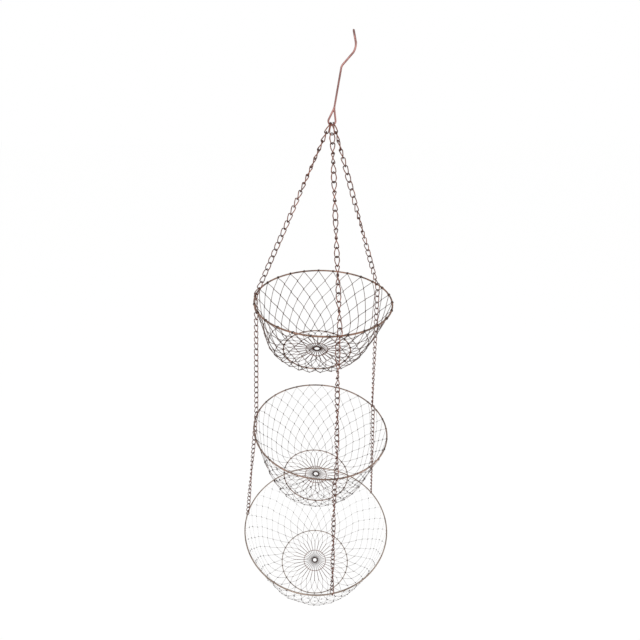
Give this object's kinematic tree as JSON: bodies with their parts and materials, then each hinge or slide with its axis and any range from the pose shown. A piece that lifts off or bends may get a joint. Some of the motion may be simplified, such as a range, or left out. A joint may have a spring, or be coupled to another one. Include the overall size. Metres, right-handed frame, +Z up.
{
  "type": "hanging fruit basket",
  "caption": "Three graduated bowls of copper wire net, hung one below another on fine chains from a long ceiling hook.",
  "frame": {"origin": "underside of the hook's arch, where it rests on what holds it up", "axes": "+Z up, the line the basket hangs along; -Y towards the chain at the front, +X to the right"},
  "size_m": [0.3016, 0.3041, 1.0257],
  "materials": {
    "frame_wire": "aged copper plate, satin",
    "net_wire": "fine copper wire, dulled"
  },
  "bodies": {
    "hook": {"hook": "frame_wire"},
    "eye_links": {"eye_links": "frame_wire"},
    "top_tier": {"upper_chain_left": "frame_wire", "upper_chain_right": "frame_wire", "upper_chain_front": "frame_wire", "top_rim": "frame_wire", "top_rim_links": "frame_wire", "top_foot_ring": "frame_wire", "top_floor_spokes": "net_wire", "top_floor_rings": "net_wire", "top_net_row_1": "net_wire", "top_net_row_2": "net_wire", "top_net_row_3": "net_wire", "top_net_row_4": "net_wire", "top_net_row_5": "net_wire", "top_net_row_6": "net_wire", "top_net_row_7": "net_wire"},
    "middle_left_swivel": {"middle_left_swivel": "frame_wire"},
    "middle_right_swivel": {"middle_right_swivel": "frame_wire"},
    "middle_front_swivel": {"middle_front_swivel": "frame_wire"},
    "middle_chain_left": {"middle_chain_left": "frame_wire"},
    "middle_chain_right": {"middle_chain_right": "frame_wire"},
    "middle_chain_front": {"middle_chain_front": "frame_wire"},
    "middle_end_swivel": {"middle_end_swivel": "frame_wire"},
    "lower_left_swivel": {"lower_left_swivel": "frame_wire"},
    "lower_right_swivel": {"lower_right_swivel": "frame_wire"},
    "lower_front_swivel": {"lower_front_swivel": "frame_wire"},
    "lower_chain_left": {"lower_chain_left": "frame_wire"},
    "lower_chain_right": {"lower_chain_right": "frame_wire"},
    "lower_chain_front": {"lower_chain_front": "frame_wire"},
    "lower_end_swivel": {"lower_end_swivel": "frame_wire"},
    "middle_tier": {"middle_rim": "frame_wire", "middle_rim_links": "frame_wire", "middle_foot_ring": "frame_wire", "middle_floor_spokes": "net_wire", "middle_floor_rings": "net_wire", "middle_net_row_1": "net_wire", "middle_net_row_2": "net_wire", "middle_net_row_3": "net_wire", "middle_net_row_4": "net_wire", "middle_net_row_5": "net_wire", "middle_net_row_6": "net_wire", "middle_net_row_7": "net_wire", "middle_net_row_8": "net_wire", "middle_net_row_9": "net_wire"},
    "bottom_tier": {"bottom_rim": "frame_wire", "bottom_rim_links": "frame_wire", "bottom_foot_ring": "frame_wire", "bottom_floor_spokes": "net_wire", "bottom_floor_rings": "net_wire", "bottom_net_row_1": "net_wire", "bottom_net_row_2": "net_wire", "bottom_net_row_3": "net_wire", "bottom_net_row_4": "net_wire", "bottom_net_row_5": "net_wire", "bottom_net_row_6": "net_wire", "bottom_net_row_7": "net_wire", "bottom_net_row_8": "net_wire", "bottom_net_row_9": "net_wire"}
  },
  "joints": [
    {"name": "hook_sway", "type": "hinge", "parent": "hook", "child": "eye_links", "pos_m": [-0.02463, -0.01014, -0.09511], "axis": [0, 1, 0], "range_deg": [-18, 18]},
    {"name": "hook_swing", "type": "hinge", "parent": "eye_links", "child": "top_tier", "pos_m": [-0.02463, -0.01014, -0.10882], "axis": [1, 0, 0], "range_deg": [-15, 15]},
    {"name": "middle_swing", "type": "hinge", "parent": "top_tier", "child": "middle_left_swivel", "pos_m": [-0.12859, 0.02206, -0.35848], "axis": [1, 0, 0], "range_deg": [-10, 10]},
    {"name": "middle_sway", "type": "hinge", "parent": "middle_left_swivel", "child": "middle_chain_left", "pos_m": [-0.12908, 0.02242, -0.37029], "axis": [0, 1, 0], "range_deg": [-9, 9]},
    {"name": "middle_right_swing", "type": "hinge", "parent": "top_tier", "child": "middle_right_swivel", "pos_m": [0.07066, 0.02744, -0.35848], "axis": [1, 0, 0], "range_deg": [-9.6, 9.6]},
    {"name": "middle_front_swing", "type": "hinge", "parent": "top_tier", "child": "middle_front_swivel", "pos_m": [-0.0294, -0.11573, -0.35823], "axis": [1, 0, 0], "range_deg": [-9.8, 9.8]},
    {"name": "middle_right_sway", "type": "hinge", "parent": "middle_right_swivel", "child": "middle_chain_right", "pos_m": [0.07137, 0.02781, -0.37029], "axis": [0, 1, 0], "range_deg": [-8.2, 8.2]},
    {"name": "middle_front_sway", "type": "hinge", "parent": "middle_front_swivel", "child": "middle_chain_front", "pos_m": [-0.02913, -0.11641, -0.36979], "axis": [0, 1, 0], "range_deg": [-8.4, 8.4]},
    {"name": "middle_level_sway", "type": "hinge", "parent": "middle_chain_left", "child": "middle_end_swivel", "pos_m": [-0.13785, 0.02884, -0.58297], "axis": [0, 1, 0], "range_deg": [-8.1, 8.1]},
    {"name": "middle_level_swing", "type": "hinge", "parent": "middle_end_swivel", "child": "middle_tier", "pos_m": [-0.13833, 0.0292, -0.59479], "axis": [1, 0, 0], "range_deg": [-8.7, 8.7]},
    {"name": "lower_swing", "type": "hinge", "parent": "middle_tier", "child": "lower_left_swivel", "pos_m": [-0.14081, 0.02711, -0.61562], "axis": [1, 0, 0], "range_deg": [-10, 10]},
    {"name": "lower_sway", "type": "hinge", "parent": "lower_left_swivel", "child": "lower_chain_left", "pos_m": [-0.14206, 0.02762, -0.62757], "axis": [0, 1, 0], "range_deg": [-9, 9]},
    {"name": "lower_right_swing", "type": "hinge", "parent": "middle_tier", "child": "lower_right_swivel", "pos_m": [0.08819, 0.03334, -0.62752], "axis": [1, 0, 0], "range_deg": [-10.5, 10.5]},
    {"name": "lower_front_swing", "type": "hinge", "parent": "middle_tier", "child": "lower_front_swivel", "pos_m": [-0.02663, -0.1317, -0.6213], "axis": [1, 0, 0], "range_deg": [-10.3, 10.3]},
    {"name": "lower_right_sway", "type": "hinge", "parent": "lower_right_swivel", "child": "lower_chain_right", "pos_m": [0.0892, 0.03393, -0.63947], "axis": [0, 1, 0], "range_deg": [-9.1, 9.1]},
    {"name": "lower_front_sway", "type": "hinge", "parent": "lower_front_swivel", "child": "lower_chain_front", "pos_m": [-0.02663, -0.13292, -0.633], "axis": [0, 1, 0], "range_deg": [-8.9, 8.9]},
    {"name": "lower_level_sway", "type": "hinge", "parent": "lower_chain_left", "child": "lower_end_swivel", "pos_m": [-0.16707, 0.03776, -0.86664], "axis": [0, 1, 0], "range_deg": [-7.5, 7.5]},
    {"name": "lower_level_swing", "type": "hinge", "parent": "lower_end_swivel", "child": "bottom_tier", "pos_m": [-0.16832, 0.03827, -0.8786], "axis": [1, 0, 0], "range_deg": [-8.1, 8.1]}
  ],
  "couplings": [
    {"joint": "middle_right_swing", "follows": "middle_swing", "ratio": 0.9588},
    {"joint": "middle_front_swing", "follows": "middle_swing", "ratio": 0.9765},
    {"joint": "middle_right_sway", "follows": "middle_sway", "ratio": 0.9105},
    {"joint": "middle_front_sway", "follows": "middle_sway", "ratio": 0.9273},
    {"joint": "middle_level_sway", "follows": "middle_sway", "ratio": -0.8982},
    {"joint": "middle_level_swing", "follows": "middle_swing", "ratio": -0.8675},
    {"joint": "lower_right_swing", "follows": "lower_swing", "ratio": 1.0473},
    {"joint": "lower_front_swing", "follows": "lower_swing", "ratio": 1.0213},
    {"joint": "lower_right_sway", "follows": "lower_sway", "ratio": 1.0084},
    {"joint": "lower_front_sway", "follows": "lower_sway", "ratio": 0.9807},
    {"joint": "lower_level_sway", "follows": "lower_sway", "ratio": -0.8329},
    {"joint": "lower_level_swing", "follows": "lower_swing", "ratio": -0.8039}
  ]
}
